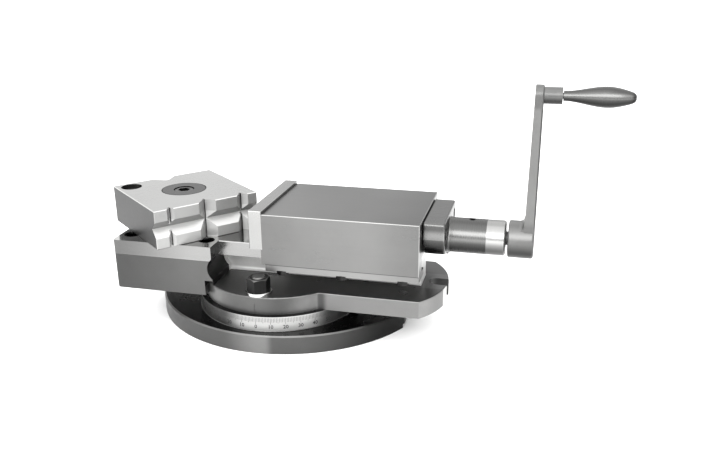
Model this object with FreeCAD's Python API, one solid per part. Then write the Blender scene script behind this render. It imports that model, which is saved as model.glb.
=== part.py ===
import FreeCAD, Part
import math
import os

# Swivel milling vise with a turning V-jaw block.
# Frame: origin on the swivel axis at the underside of the base, X along the
# lead screw towards the crank, Z up, all lengths in millimetres.

# The jaws are as wide as the moving block
jaw_width = 100.0

# Base plate, made from two equal arcs closed by straight ends
base_rim = 7.8
base_half_length = 120.0
base_end_half_width = 4.75
base_thickness = 17.0
base_edge_chamfer = 1.2
base_corner_radius = 4.0
key_slot_width = 14.0
key_slot_depth = 3.5
key_slot_length = 30.0

# Graduated ring of the base with its circular T-slot
ring_shelf = 5.6
ring_height = 13.5
ring_foot_radius = 0.8
tee_bolt_reach = 8.0
tee_throat_width = 13.0
tee_throat_depth = 7.0
tee_head_slot_width = 23.0
tee_head_slot_height = 9.0
tee_entry_angle = 135.0
tee_entry_margin = 0.5
spigot_radius = 20.0
spigot_length = 12.0
spigot_end_gap = 1.5

# Body flange with its two round ears
flange_side_step = 2.0
flange_thickness = 15.6
flange_straight_end = 139.8
flange_end = 158.5
flange_corner_radius = 2.5
flange_edge_radius = 1.0
ear_margin = 0.3
ear_blend_radius = 6.0
ear_hole_radius = 6.75
flange_slot_width = 14.5
flange_slot_start = 141.0
index_line_width = 0.7
index_line_depth = 0.4
index_line_height = 9.5

# Seat that carries the turning jaw
seat_reach_left = 47.5
seat_reach_right = 47.9
seat_side_margin = 4.4
seat_underside = 36.5
seat_step = 7.6
seat_corner_radius = 3.0
scallop_radius = 12.5
scallop_setback = 8.1
scallop_rise = 15.7
ledge_height = 4.4
lock_tap_depth = 26.0
pivot_tap_depth = 30.0
tap_countersink = 1.2

# T-shaped way
way_top = 82.7
way_head_thickness = 13.2
way_side_wall = 14.0
way_end = 136.0
web_half_width = 11.5
web_foot_radius = 4.0
web_root = 4.4
way_edge_chamfer = 0.6

# Turning jaw block
jaw_height = 35.0
jaw_rest_angle = 49.66
rest_opening = 12.523
jaw_edge_chamfer = 0.6
vee_spacing = 35.0
small_vee_half_width = 3.3
middle_vee_half_width = 8.3
side_vee_half_width = 5.5
vee_relief_width = 2.0
vee_relief_depth = 1.4
level_vee_centre = 17.3
level_vee_half_width = 7.5
back_vee_half_width = 12.0
back_vee_floor_width = 3.0
lock_hole_edge = 13.0
lock_head_bore_radius = 9.6
lock_head_bore_depth = 16.0
lock_screw_rise = 0.4

# Pivot bush and its screw
bush_disc_radius = 20.3
bush_disc_height = 14.0
bush_stem_radius = 13.0
bush_disc_gap = 0.4
bush_edge_chamfer = 0.5
pivot_head_bore_depth = 12.6
pivot_screw_grip = 22.0

# Moving jaw block
block_left = 2.0
block_right = 139.75
block_top = 115.0
block_foot_lip = 1.5
cavity_half_width = 24.0
cavity_top = 108.0
cavity_corner_radius = 5.0
block_end_wall = 13.0
block_edge_chamfer = 0.5

# Hard plate on the moving jaw
plate_thickness = 12.0
plate_edge_chamfer = 0.5
plate_screw_offset = 27.0
plate_screw_height = 20.0
plate_head_sink = 0.6
plate_screw_grip = 16.6
plate_lift = 0.3

# Keeper strips under the block
keeper_thickness = 6.0
keeper_hold = 10.0
keeper_left = 4.0
keeper_screw_inset = 13.75
keeper_screw_pitch = 53.75
keeper_screw_edge = 5.0
keeper_spot_radius = 6.6
keeper_spot_depth = 1.0
keeper_screw_grip = 12.0

# Lead screw and its nut
screw_axis_height = 92.2
screw_radius = 8.0
screw_left_end = 17.0
screw_collar_radius = 9.2
screw_collar_length = 6.0
screw_tip_chamfer = 1.5
journal_radius = 7.5
screw_end_radius = 6.0
screw_end_recess = 1.6
nut_left = 96.0
nut_length = 32.0
nut_half_width = 21.0
nut_top = 105.0
nut_pocket_depth = 7.0
nut_shoulder_chamfer = 4.0
nut_screw_offset = 15.5
nut_head_sink = 0.5
nut_screw_grip = 5.0

# Screw bracket with its tube
bracket_thickness = 18.75
bracket_half_width = 36.0
bracket_top = 113.0
bracket_low_drop = 12.2
bracket_low_radius = 20.5
bracket_top_radius = 2.5
bracket_edge_radius = 1.8
bracket_screw_offset = 28.5
bracket_screw_height = 102.0
bracket_head_sink = 1.5
bracket_screw_grip = 14.0
tube_radius = 15.5
tube_end = 191.0
tube_root_radius = 2.0
oil_hole_radius = 1.8
oil_cup_depth = 1.3
oil_hole_x = 178.0

# Bright collar and crank
collar_end = 207.3
collar_edge_chamfer = 1.2
collar_pin_radius = 2.5
pin_blind_reach = 10.5
crank_gap = 1.9
crank_pin_share = 0.42
hub_radius = 16.2
hub_length = 22.0
hub_left_radius = 1.5
hub_right_radius = 2.5
arm_root_thickness = 9.2
arm_tip_thickness = 7.0
arm_length = 124.5
arm_tip_radius = 8.6
arm_root_half_width = 13.0
arm_root_blend = 4.0
arm_edge_radius = 1.5
boss_radius = 6.9
boss_length = 14.5
crank_pin_radius = 3.0

# Handle
grip_gap = 0.5
grip_length = 56.0
grip_neck_radius = 4.1
grip_hollow_at = 13.5
grip_hollow_radius = 5.6
grip_waist_at = 33.0
grip_waist_radius = 8.5
grip_shoulder_at = 50.5
grip_shoulder_radius = 5.5
grip_end_flat_radius = 0.8
handle_pin_radius = 2.5
handle_pin_reach = 46.0
handle_pin_head_radius = 4.2
handle_pin_head_length = 4.0

# Fasteners
m12_radius = 6.0
m12_nut_across = 18.0
m12_nut_height = 12.0
m12_head_radius = 9.0
m12_head_height = 12.0
m12_socket_across = 10.0
m8_radius = 4.0
m8_head_radius = 6.5
m8_head_height = 8.0
m8_socket_across = 6.0
m6_radius = 3.0
m6_head_radius = 5.0
m6_head_height = 6.0
m6_socket_across = 5.0
m6_hex_across = 10.0
m6_hex_height = 4.0
washer_radius = 11.5
washer_thickness = 2.5
stud_end_rise = 1.0
stud_end_chamfer = 1.0
nut_mouth = 0.9
nut_corner_trim = 0.2
tee_head_side = 21.0
tee_head_height = 7.5
tee_head_chamfer = 1.5
socket_share = 0.55
head_edge_radius = 0.8
tap_margin = 2.0
edge_break = 0.4

# Clearances
slide_play = 0.05
turn_play = 0.05
thread_play = 0.10
screw_hole_play = 0.40
seat_play = 0.02
pin_play = 0.02
head_play = 0.4
grip_play = 0.3
grip_head_play = 0.4
grip_end_play = 0.6

# How far cutters run past a face, how far joined shapes reach into each
# other, and how near an edge must be to the place it is looked for
past = 1.0
lap = 0.5
near = 0.01

# Heights and positions worked out from the values above
block_half_width = jaw_width / 2.0
jaw_side = jaw_width
seat_half_width = block_half_width + seat_side_margin
flange_half_width = block_half_width - flange_side_step
way_half_width = block_half_width - way_side_wall
tee_circle_radius = block_half_width + tee_bolt_reach
ear_radius = tee_circle_radius + washer_radius + ear_margin
ring_radius = ear_radius + ring_shelf
base_half_depth = ring_radius + base_rim
ring_top = base_thickness + ring_height
flange_bottom = ring_top
flange_top = flange_bottom + flange_thickness
head_bottom = way_top - way_head_thickness
jaw_bottom = way_top + seat_play
jaw_top = jaw_bottom + jaw_height
plate_top = jaw_top
plate_left = block_left - plate_thickness
plate_bottom = way_top + plate_lift
jaw_turn = math.radians(jaw_rest_angle)
jaw_corner_reach = jaw_side / 2.0 * (math.cos(jaw_turn) + math.sin(jaw_turn))
jaw_axis_x = plate_left - rest_opening - jaw_corner_reach
lock_hole_offset = jaw_side / 2.0 - lock_hole_edge
seat_left = jaw_axis_x - seat_reach_left
seat_right = jaw_axis_x + seat_reach_right
seat_shoulder = seat_right - seat_step
keeper_inner_edge = way_half_width - keeper_hold
keeper_screw_offset = block_half_width - keeper_screw_edge
keeper_last_x = block_right - keeper_screw_inset
keeper_screw_positions = [keeper_last_x - i * keeper_screw_pitch for i in range(3)]
block_bottom = head_bottom - slide_play
keeper_bottom = block_bottom - keeper_thickness
bracket_right = block_right + bracket_thickness
bracket_bottom = screw_axis_height - bracket_low_drop
crank_left = collar_end + crank_gap
crank_right = crank_left + hub_length
arm_top_z = screw_axis_height + arm_length
collar_pin_x = 0.5 * (tube_end + collar_end)
crank_pin_x = crank_left + crank_pin_share * hub_length
boss_right = crank_right + boss_length
grip_left = boss_right + grip_gap

os.makedirs("parts", exist_ok=True)
V = FreeCAD.Vector
UP = V(0, 0, 1)
ALONG = V(1, 0, 0)
ACROSS = V(0, 1, 0)
DOWN = V(0, 0, -1)


def box(x0, x1, y0, y1, z0, z1):
    return Part.makeBox(x1 - x0, y1 - y0, z1 - z0, V(x0, y0, z0))


def rod(radius, length, start, direction=UP):
    return Part.makeCylinder(radius, length, start, direction)


def prism(points, direction):
    wire = Part.makePolygon(points + [points[0]])
    return Part.Face(wire).extrude(direction)


def hexagon(across, height, start, direction=UP):
    corner = across / math.sqrt(3.0)
    points = []
    for i in range(6):
        a = math.radians(60.0 * i + 30.0)
        points.append(V(corner * math.cos(a), corner * math.sin(a), 0))
    shape = prism(points, V(0, 0, height))
    shape.Placement = FreeCAD.Placement(start, FreeCAD.Rotation(UP, direction))
    return shape


def chamfered_hexagon(across, height, start, direction=UP):
    corner = across / math.sqrt(3.0)
    drop = (corner - across / 2.0) * math.tan(math.radians(30.0))
    cone_height = height + drop
    reach = across / 2.0 - nut_corner_trim
    shape = hexagon(across, height, V(0, 0, 0))
    slope = math.tan(math.radians(60.0))
    cone = Part.makeCone(reach + cone_height * slope, reach, cone_height, V(0, 0, height - cone_height))
    shape = shape.common(cone)
    shape.Placement = FreeCAD.Placement(start, FreeCAD.Rotation(UP, direction))
    return shape


def edges_where(shape, test):
    found = []
    for edge in shape.Edges:
        if test(edge):
            found.append(edge)
    return found


def is_parallel(edge, direction):
    if len(edge.Vertexes) != 2:
        return False
    line = edge.Vertexes[1].Point - edge.Vertexes[0].Point
    if line.Length < 1e-6:
        return False
    if abs(line.Length - edge.Length) > 1e-6:
        return False
    return abs(abs(line.normalize().dot(direction)) - 1.0) < 1e-6


def middle(edge):
    return edge.valueAt(0.5 * (edge.FirstParameter + edge.LastParameter))


def cap_screw(radius, shank, head_radius, head_height, socket_across, seat, direction):
    # The head sits on the point seat, the shank goes along direction.
    back = V(-direction.x, -direction.y, -direction.z)
    head = rod(head_radius, head_height, seat, back)
    rim = edges_where(head, lambda e: (middle(e) - seat).dot(back) > head_height - near)
    head = head.makeFillet(head_edge_radius, rim)
    shape = head.fuse(rod(radius, shank, seat, direction))
    end = seat + back * head_height
    socket = hexagon(socket_across, head_height * socket_share, end, direction)
    return shape.cut(socket)


def m6_screw(shank, seat, direction):
    return cap_screw(m6_radius, shank, m6_head_radius, m6_head_height, m6_socket_across, seat, direction)


def m8_screw(shank, seat, direction):
    return cap_screw(m8_radius, shank, m8_head_radius, m8_head_height, m8_socket_across, seat, direction)


def m12_screw(shank, seat, direction):
    return cap_screw(m12_radius, shank, m12_head_radius, m12_head_height, m12_socket_across, seat, direction)


def base_outline():
    x = base_half_length
    y = base_end_half_width
    front = Part.Arc(V(-x, -y, 0), V(0, -base_half_depth, 0), V(x, -y, 0))
    right = Part.LineSegment(V(x, -y, 0), V(x, y, 0))
    back = Part.Arc(V(x, y, 0), V(0, base_half_depth, 0), V(-x, y, 0))
    left = Part.LineSegment(V(-x, y, 0), V(-x, -y, 0))
    return Part.Wire([front.toShape(), right.toShape(), back.toShape(), left.toShape()])


def annulus(radius, half_width, z0, z1):
    start = V(0, 0, z0)
    return rod(radius + half_width, z1 - z0, start).cut(rod(radius - half_width, z1 - z0, start))


def make_base():
    plate = Part.Face(base_outline()).extrude(V(0, 0, base_thickness))
    plate = plate.makeFillet(base_corner_radius, edges_where(plate, lambda e: is_parallel(e, UP)))
    rims = edges_where(plate, lambda e: abs(middle(e).z - base_thickness) < near)
    plate = plate.makeChamfer(base_edge_chamfer, rims)
    ring = rod(ring_radius, ring_height + lap, V(0, 0, base_thickness - lap))
    ring = ring.makeChamfer(edge_break, edges_where(ring, lambda e: abs(middle(e).z - ring_top) < near))
    shape = plate.fuse(ring)
    foot = edges_where(shape, lambda e: is_ring_foot(e))
    shape = shape.makeFillet(ring_foot_radius, foot)
    half_throat = tee_throat_width / 2.0
    half_head = tee_head_slot_width / 2.0
    head_roof = ring_top - tee_throat_depth
    head_floor = head_roof - tee_head_slot_height
    shape = shape.cut(annulus(tee_circle_radius, half_throat, head_roof, ring_top))
    shape = shape.cut(annulus(tee_circle_radius, half_head, head_floor, head_roof))
    entry = math.radians(tee_entry_angle)
    entry_point = V(tee_circle_radius * math.cos(entry), tee_circle_radius * math.sin(entry), head_floor)
    shape = shape.cut(rod(half_head + tee_entry_margin, ring_top - head_floor, entry_point))
    socket_depth = spigot_length + spigot_end_gap
    shape = shape.cut(rod(spigot_radius + turn_play, socket_depth, V(0, 0, ring_top - socket_depth)))
    for side in (-1, 1):
        outer = side * base_half_length
        inner = side * (base_half_length - key_slot_length)
        half = key_slot_width / 2.0
        slot = box(min(outer, inner), max(outer, inner), -half, half, 0, key_slot_depth)
        shape = shape.cut(slot)
    return shape


def is_ring_foot(edge):
    point = middle(edge)
    if abs(point.z - base_thickness) > near:
        return False
    return abs(math.hypot(point.x, point.y) - ring_radius) < near


def flange_plate():
    half = flange_half_width
    end_arc = Part.Arc(V(flange_straight_end, -half, 0), V(flange_end, 0, 0), V(flange_straight_end, half, 0))
    front = Part.LineSegment(V(0, -half, 0), V(flange_straight_end, -half, 0))
    back = Part.LineSegment(V(flange_straight_end, half, 0), V(0, half, 0))
    left = Part.LineSegment(V(0, half, 0), V(0, -half, 0))
    wire = Part.Wire([front.toShape(), end_arc.toShape(), back.toShape(), left.toShape()])
    shape = Part.Face(wire).extrude(V(0, 0, flange_thickness))
    shape = shape.fuse(rod(ear_radius, flange_thickness, V(0, 0, 0))).removeSplitter()
    meet = math.sqrt(ear_radius ** 2 - half ** 2)
    blends = edges_where(shape, lambda e: is_parallel(e, UP) and abs(middle(e).x - meet) < near)
    shape = shape.makeFillet(ear_blend_radius, blends)
    end_x = flange_straight_end
    corners = edges_where(shape, lambda e: is_parallel(e, UP) and abs(middle(e).x - end_x) < near)
    shape = shape.makeFillet(flange_corner_radius, corners)
    rims = edges_where(shape, lambda e: abs(middle(e).z - flange_thickness) < near)
    shape = shape.makeFillet(flange_edge_radius, rims)
    shape.translate(V(0, 0, flange_bottom))
    return shape


def seat_casting():
    shape = box(seat_left, seat_right, -seat_half_width, seat_half_width, seat_underside, way_top)
    low_left = V(seat_left, 0, seat_underside)
    corners = edges_where(shape, lambda e: is_parallel(e, UP) and abs(middle(e).x - seat_left) < near)
    foot = edges_where(shape, lambda e: is_parallel(e, ACROSS) and middle(e).distanceToPoint(low_left) < near)
    shape = shape.makeFillet(seat_corner_radius, corners + foot)
    axis_x = seat_right + scallop_setback
    axis_z = flange_top + scallop_rise
    depth = 2.0 * (seat_half_width + past)
    groove = rod(scallop_radius, depth, V(axis_x, -depth / 2.0, axis_z), ACROSS)
    shape = shape.cut(groove)
    ledge_top = flange_top + ledge_height
    under = box(seat_shoulder, seat_right + past, -depth / 2.0, depth / 2.0, seat_underside - past, ledge_top)
    kept = rod(ear_radius, way_top, V(0, 0, 0))
    return shape.cut(under.cut(kept))


def way_bar():
    head = box(seat_right - lap, way_end, -way_half_width, way_half_width, head_bottom, way_top)
    edges = edges_where(head, lambda e: is_parallel(e, ALONG) and middle(e).z > way_top - near)
    head = head.makeChamfer(way_edge_chamfer, edges)
    web_left = seat_shoulder - web_root
    web = box(web_left, way_end, -web_half_width, web_half_width, flange_top - lap, head_bottom + lap)
    return head.fuse(web)


def web_foot(side):
    # Concave blend between one side of the web and the flange.
    r = web_foot_radius
    inner = side * (web_half_width - lap)
    outer = side * (web_half_width + r)
    bar = box(seat_shoulder, way_end, min(inner, outer), max(inner, outer), flange_top - lap, flange_top + r)
    start = V(seat_shoulder - past, outer, flange_top + r)
    groove = rod(r, way_end - seat_shoulder + 2.0 * past, start, ALONG)
    return bar.cut(groove)


def seat_hole_points():
    points = []
    for sx in (-1, 1):
        for sy in (-1, 1):
            points.append((jaw_axis_x + sx * lock_hole_offset, sy * lock_hole_offset))
    return points


def make_vise_body():
    shape = flange_plate().fuse(seat_casting())
    shape = shape.fuse(way_bar())
    for side in (-1, 1):
        shape = shape.fuse(web_foot(side))
    shape = shape.fuse(rod(spigot_radius, spigot_length + lap, V(0, 0, flange_bottom - spigot_length)))
    shape = shape.removeSplitter()
    slot_half = flange_slot_width / 2.0
    slot_axis = flange_slot_start + slot_half
    low = flange_bottom - past
    high = flange_top + past
    shape = shape.cut(rod(slot_half, high - low, V(slot_axis, 0, low)))
    shape = shape.cut(box(slot_axis, flange_end + past, -slot_half, slot_half, low, high))
    for side in (-1, 1):
        hole = rod(ear_hole_radius, high - low, V(0, side * tee_circle_radius, low))
        shape = shape.cut(hole)
    half_line = index_line_width / 2.0
    line_top = flange_bottom + index_line_height
    line_floor = -ear_radius + index_line_depth
    shape = shape.cut(box(-half_line, half_line, -ear_radius - past, line_floor, flange_bottom, line_top))
    thread = m12_radius + thread_play
    for x, y in seat_hole_points():
        shape = shape.cut(rod(thread, lock_tap_depth, V(x, y, way_top - lock_tap_depth)))
        mouth = V(x, y, way_top - tap_countersink)
        shape = shape.cut(Part.makeCone(thread, thread + tap_countersink, tap_countersink, mouth))
    shape = shape.cut(rod(thread, pivot_tap_depth, V(jaw_axis_x, 0, way_top - pivot_tap_depth)))
    left = nut_left - slide_play
    right = nut_left + nut_length + slide_play
    half = nut_half_width + slide_play
    shape = shape.cut(box(left, right, -half, half, way_top - nut_pocket_depth, way_top))
    for x, y in nut_bolt_points():
        shape = shape.cut(rod(m6_radius + thread_play, way_head_thickness, V(x, y, head_bottom)))
    return shape


def make_lead_nut():
    floor = way_top - nut_pocket_depth
    shape = box(nut_left, nut_left + nut_length, -nut_half_width, nut_half_width, floor, nut_top)
    shoulders = edges_where(shape, lambda e: is_parallel(e, ALONG) and middle(e).z > nut_top - near)
    shape = shape.makeChamfer(nut_shoulder_chamfer, shoulders)
    shape = shape.cut(rod(screw_radius + thread_play, nut_length, V(nut_left, 0, screw_axis_height), ALONG))
    deep = m6_head_height + nut_head_sink
    for x, y in nut_bolt_points():
        shape = shape.cut(rod(m6_radius + screw_hole_play, nut_top - floor, V(x, y, floor)))
        shape = shape.cut(rod(m6_head_radius + head_play, deep, V(x, y, nut_top - deep)))
    return shape


def nut_bolt_points():
    x_middle = nut_left + nut_length / 2.0
    return ((x_middle, -nut_screw_offset), (x_middle, nut_screw_offset))


def make_lead_nut_screws():
    shapes = []
    seat_z = nut_top - m6_head_height - nut_head_sink
    shank = seat_z - (way_top - nut_pocket_depth) + nut_screw_grip
    for x, y in nut_bolt_points():
        shapes.append(m6_screw(shank, V(x, y, seat_z), DOWN))
    return Part.makeCompound(shapes)


def make_tee_bolts():
    shapes = []
    head_roof = ring_top - tee_throat_depth
    half = tee_head_side / 2.0
    stud_top = flange_top + washer_thickness + m12_nut_height + stud_end_rise
    for side in (-1, 1):
        y = side * tee_circle_radius
        head_z = head_roof - tee_head_height - turn_play
        head = box(-half, half, y - half, y + half, head_z, head_z + tee_head_height)
        head = head.makeChamfer(tee_head_chamfer, edges_where(head, lambda e: is_parallel(e, UP)))
        stud = rod(m12_radius, stud_top - head_z - lap, V(0, y, head_z + lap))
        stud = stud.makeChamfer(stud_end_chamfer, edges_where(stud, lambda e: middle(e).z > stud_top - near))
        shapes.append(head.fuse(stud))
    return Part.makeCompound(shapes)


def make_ear_washers():
    shapes = []
    for side in (-1, 1):
        start = V(0, side * tee_circle_radius, flange_top)
        washer = rod(washer_radius, washer_thickness, start)
        top = flange_top + washer_thickness
        washer = washer.makeChamfer(edge_break, edges_where(washer, lambda e: middle(e).z > top - near))
        shapes.append(washer.cut(rod(m12_radius + screw_hole_play, washer_thickness, start)))
    return Part.makeCompound(shapes)


def make_ear_nuts():
    shapes = []
    for side in (-1, 1):
        start = V(0, side * tee_circle_radius, flange_top + washer_thickness)
        nut = chamfered_hexagon(m12_nut_across, m12_nut_height, start)
        hole = m12_radius + thread_play
        nut = nut.cut(rod(hole, m12_nut_height, start))
        mouth = Part.makeCone(hole, hole + nut_mouth, nut_mouth, start + V(0, 0, m12_nut_height - nut_mouth))
        shapes.append(nut.cut(mouth))
    return Part.makeCompound(shapes)


def vee_cutter(centre, half_width, relief_width, relief_depth):
    # Upright 90 degree V in the face y = -jaw_side/2 of the jaw's own frame.
    face = -jaw_side / 2.0
    wide = half_width + past
    bottom = face + half_width
    points = [V(centre - wide, face - past, 0), V(centre + wide, face - past, 0), V(centre, bottom, 0)]
    cutter = prism(points, V(0, 0, jaw_height))
    half = relief_width / 2.0
    return cutter.fuse(box(centre - half, centre + half, face, bottom + relief_depth, 0, jaw_height))


def make_swivel_jaw():
    half = jaw_side / 2.0
    shape = box(-half, half, -half, half, 0, jaw_height)
    shape = shape.makeChamfer(jaw_edge_chamfer, shape.Edges)
    vees = ((-vee_spacing, small_vee_half_width), (0.0, middle_vee_half_width), (vee_spacing, side_vee_half_width))
    for centre, half_width in vees:
        shape = shape.cut(vee_cutter(centre, half_width, vee_relief_width, vee_relief_depth))
    mouth = level_vee_half_width + past
    low = V(-half, -half - past, level_vee_centre - mouth)
    high = V(-half, -half - past, level_vee_centre + mouth)
    deep = V(-half, -half + level_vee_half_width, level_vee_centre)
    shape = shape.cut(prism([low, high, deep], V(jaw_side, 0, 0)))
    floor_half = back_vee_floor_width / 2.0
    back_depth = back_vee_half_width - floor_half
    wide = back_vee_half_width + past
    points = [V(-wide, half + past, 0), V(wide, half + past, 0)]
    points.append(V(floor_half, half - back_depth, 0))
    points.append(V(-floor_half, half - back_depth, 0))
    shape = shape.cut(prism(points, V(0, 0, jaw_height)))
    shape = shape.cut(rod(bush_stem_radius + turn_play, jaw_height, V(0, 0, 0)))
    disc_seat = V(0, 0, jaw_height - bush_disc_height)
    shape = shape.cut(rod(bush_disc_radius + bush_disc_gap, bush_disc_height, disc_seat))
    lock = V(-lock_hole_offset, lock_hole_offset, 0)
    shape = shape.cut(rod(m12_radius + screw_hole_play, jaw_height, lock))
    head_seat = lock + V(0, 0, jaw_height - lock_head_bore_depth)
    shape = shape.cut(rod(lock_head_bore_radius, lock_head_bore_depth, head_seat))
    return place_jaw(shape)


def place_jaw(shape):
    turn = FreeCAD.Rotation(UP, jaw_rest_angle)
    shape.Placement = FreeCAD.Placement(V(jaw_axis_x, 0, jaw_bottom), turn)
    return shape


def make_lock_screw():
    seat = V(-lock_hole_offset, lock_hole_offset, jaw_height - lock_head_bore_depth)
    shank = jaw_height - lock_head_bore_depth - lock_screw_rise
    return place_jaw(m12_screw(shank, seat, DOWN))


def make_pivot_bush():
    disc_bottom = jaw_top - bush_disc_height + turn_play
    shape = rod(bush_stem_radius, disc_bottom - way_top + lap, V(jaw_axis_x, 0, way_top))
    disc = rod(bush_disc_radius, jaw_top - disc_bottom, V(jaw_axis_x, 0, disc_bottom))
    disc = disc.makeChamfer(bush_edge_chamfer, edges_where(disc, lambda e: middle(e).z > jaw_top - near))
    shape = shape.fuse(disc)
    shape = shape.cut(rod(m12_radius + screw_hole_play, jaw_top - way_top, V(jaw_axis_x, 0, way_top)))
    head_seat = V(jaw_axis_x, 0, jaw_top - pivot_head_bore_depth)
    return shape.cut(rod(m12_head_radius + head_play, pivot_head_bore_depth, head_seat))


def make_pivot_screw():
    seat_z = jaw_top - pivot_head_bore_depth
    shank = seat_z - way_top + pivot_screw_grip
    return m12_screw(shank, V(jaw_axis_x, 0, seat_z), DOWN)


def make_slide_block():
    half = block_half_width
    shape = box(block_left, block_right, -half, half, block_bottom, block_top)
    reach = way_half_width + slide_play
    lip = block_left - block_foot_lip
    for side in (-1, 1):
        near_way = min(side * reach, side * half)
        far_out = max(side * reach, side * half)
        shape = shape.fuse(box(lip, block_left + lap, near_way, far_out, block_bottom, plate_bottom))
    shape = shape.removeSplitter()
    edges = edges_where(shape, lambda e: middle(e).z > block_top - near)
    edges = edges + edges_where(shape, lambda e: is_parallel(e, UP) and middle(e).x > block_right - near)
    shape = shape.makeChamfer(block_edge_chamfer, edges)
    end = block_right + past
    shape = shape.cut(box(lip - past, end, -reach, reach, block_bottom - past, way_top + slide_play))
    cavity = box(block_left + block_end_wall, end, -cavity_half_width, cavity_half_width, way_top, cavity_top)
    corners = edges_where(cavity, lambda e: is_parallel(e, ALONG) and middle(e).z > cavity_top - near)
    shape = shape.cut(cavity.makeFillet(cavity_corner_radius, corners))
    plate_tap = plate_screw_grip + tap_margin
    bracket_tap = bracket_screw_grip + tap_margin
    keeper_tap = keeper_screw_grip + tap_margin
    for y in (-plate_screw_offset, plate_screw_offset):
        start = V(block_left, y, plate_bottom + plate_screw_height)
        shape = shape.cut(rod(m8_radius + thread_play, plate_tap, start, ALONG))
    for y in (-bracket_screw_offset, bracket_screw_offset):
        start = V(block_right - bracket_tap, y, bracket_screw_height)
        shape = shape.cut(rod(m6_radius + thread_play, bracket_tap, start, ALONG))
    for x in keeper_screw_positions:
        for y in (-keeper_screw_offset, keeper_screw_offset):
            shape = shape.cut(rod(m6_radius + thread_play, keeper_tap, V(x, y, block_bottom)))
    return shape


def make_jaw_plate():
    shape = box(plate_left, block_left, -block_half_width, block_half_width, plate_bottom, plate_top)
    edges = edges_where(shape, lambda e: middle(e).x < plate_left + near or middle(e).z > plate_top - near)
    shape = shape.makeChamfer(plate_edge_chamfer, edges)
    for y in (-plate_screw_offset, plate_screw_offset):
        start = V(plate_left, y, plate_bottom + plate_screw_height)
        shape = shape.cut(rod(m8_radius + screw_hole_play, plate_thickness, start, ALONG))
        shape = shape.cut(rod(m8_head_radius + head_play, m8_head_height + plate_head_sink, start, ALONG))
    return shape


def make_jaw_plate_screws():
    shapes = []
    deep = m8_head_height + plate_head_sink
    shank = plate_thickness - deep + plate_screw_grip
    for y in (-plate_screw_offset, plate_screw_offset):
        seat = V(plate_left + deep, y, plate_bottom + plate_screw_height)
        shapes.append(m8_screw(shank, seat, ALONG))
    return Part.makeCompound(shapes)


def make_keeper(side):
    inner = side * keeper_inner_edge
    outer = side * block_half_width
    shape = box(keeper_left, block_right, min(inner, outer), max(inner, outer), keeper_bottom, block_bottom)
    for x in keeper_screw_positions:
        y = side * keeper_screw_offset
        shape = shape.cut(rod(m6_radius + screw_hole_play, keeper_thickness, V(x, y, keeper_bottom)))
        shape = shape.cut(rod(keeper_spot_radius, keeper_spot_depth, V(x, y, keeper_bottom)))
    return shape


def make_keeper_screws():
    shapes = []
    seat_z = keeper_bottom + keeper_spot_depth
    shank = keeper_thickness - keeper_spot_depth + keeper_screw_grip
    for side in (-1, 1):
        for x in keeper_screw_positions:
            y = side * keeper_screw_offset
            head = chamfered_hexagon(m6_hex_across, m6_hex_height, V(x, y, seat_z), DOWN)
            shapes.append(head.fuse(rod(m6_radius, shank + lap, V(x, y, seat_z - lap))))
    return Part.makeCompound(shapes)


def make_screw_bracket():
    half = bracket_half_width
    shape = box(block_right, bracket_right, -half, half, bracket_bottom, bracket_top)
    low = edges_where(shape, lambda e: is_parallel(e, ALONG) and middle(e).z < bracket_bottom + near)
    shape = shape.makeFillet(bracket_low_radius, low)
    high = edges_where(shape, lambda e: is_parallel(e, ALONG) and middle(e).z > bracket_top - near)
    shape = shape.makeFillet(bracket_top_radius, high)
    outer = edges_where(shape, lambda e: middle(e).x > bracket_right - near)
    inner = edges_where(shape, lambda e: middle(e).x < block_right + near)
    shape = shape.makeFillet(bracket_edge_radius, outer + inner)
    r = tube_root_radius
    shape = shape.fuse(rod(tube_radius + r, bracket_thickness, V(block_right, 0, screw_axis_height), ALONG))
    axis = V(bracket_right - lap, 0, screw_axis_height)
    tube = rod(tube_radius, tube_end - axis.x, axis, ALONG)
    shape = shape.fuse(tube)
    root = rod(tube_radius + r, r, V(bracket_right, 0, screw_axis_height), ALONG)
    hollow = Part.makeTorus(tube_radius + r, r, V(bracket_right + r, 0, screw_axis_height), ALONG)
    shape = shape.fuse(root.cut(hollow))
    bore = journal_radius + turn_play
    shape = shape.cut(rod(bore, tube_end - block_right, V(block_right, 0, screw_axis_height), ALONG))
    deep = m6_head_height + bracket_head_sink
    for y in (-bracket_screw_offset, bracket_screw_offset):
        start = V(block_right, y, bracket_screw_height)
        shape = shape.cut(rod(m6_radius + screw_hole_play, bracket_thickness, start, ALONG))
        head_seat = start + V(bracket_thickness - deep, 0, 0)
        shape = shape.cut(rod(m6_head_radius + head_play, deep + past, head_seat, ALONG))
    shape = shape.cut(rod(oil_hole_radius, tube_radius + past, V(oil_hole_x, 0, screw_axis_height)))
    cup_height = oil_cup_depth + lap
    cup_floor = V(oil_hole_x, 0, screw_axis_height + tube_radius - oil_cup_depth)
    return shape.cut(Part.makeCone(oil_hole_radius, oil_hole_radius + cup_height, cup_height, cup_floor))


def make_bracket_screws():
    shapes = []
    deep = m6_head_height + bracket_head_sink
    shank = bracket_thickness - deep + bracket_screw_grip
    for y in (-bracket_screw_offset, bracket_screw_offset):
        shapes.append(m6_screw(shank, V(bracket_right - deep, y, bracket_screw_height), V(-1, 0, 0)))
    return Part.makeCompound(shapes)


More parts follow.
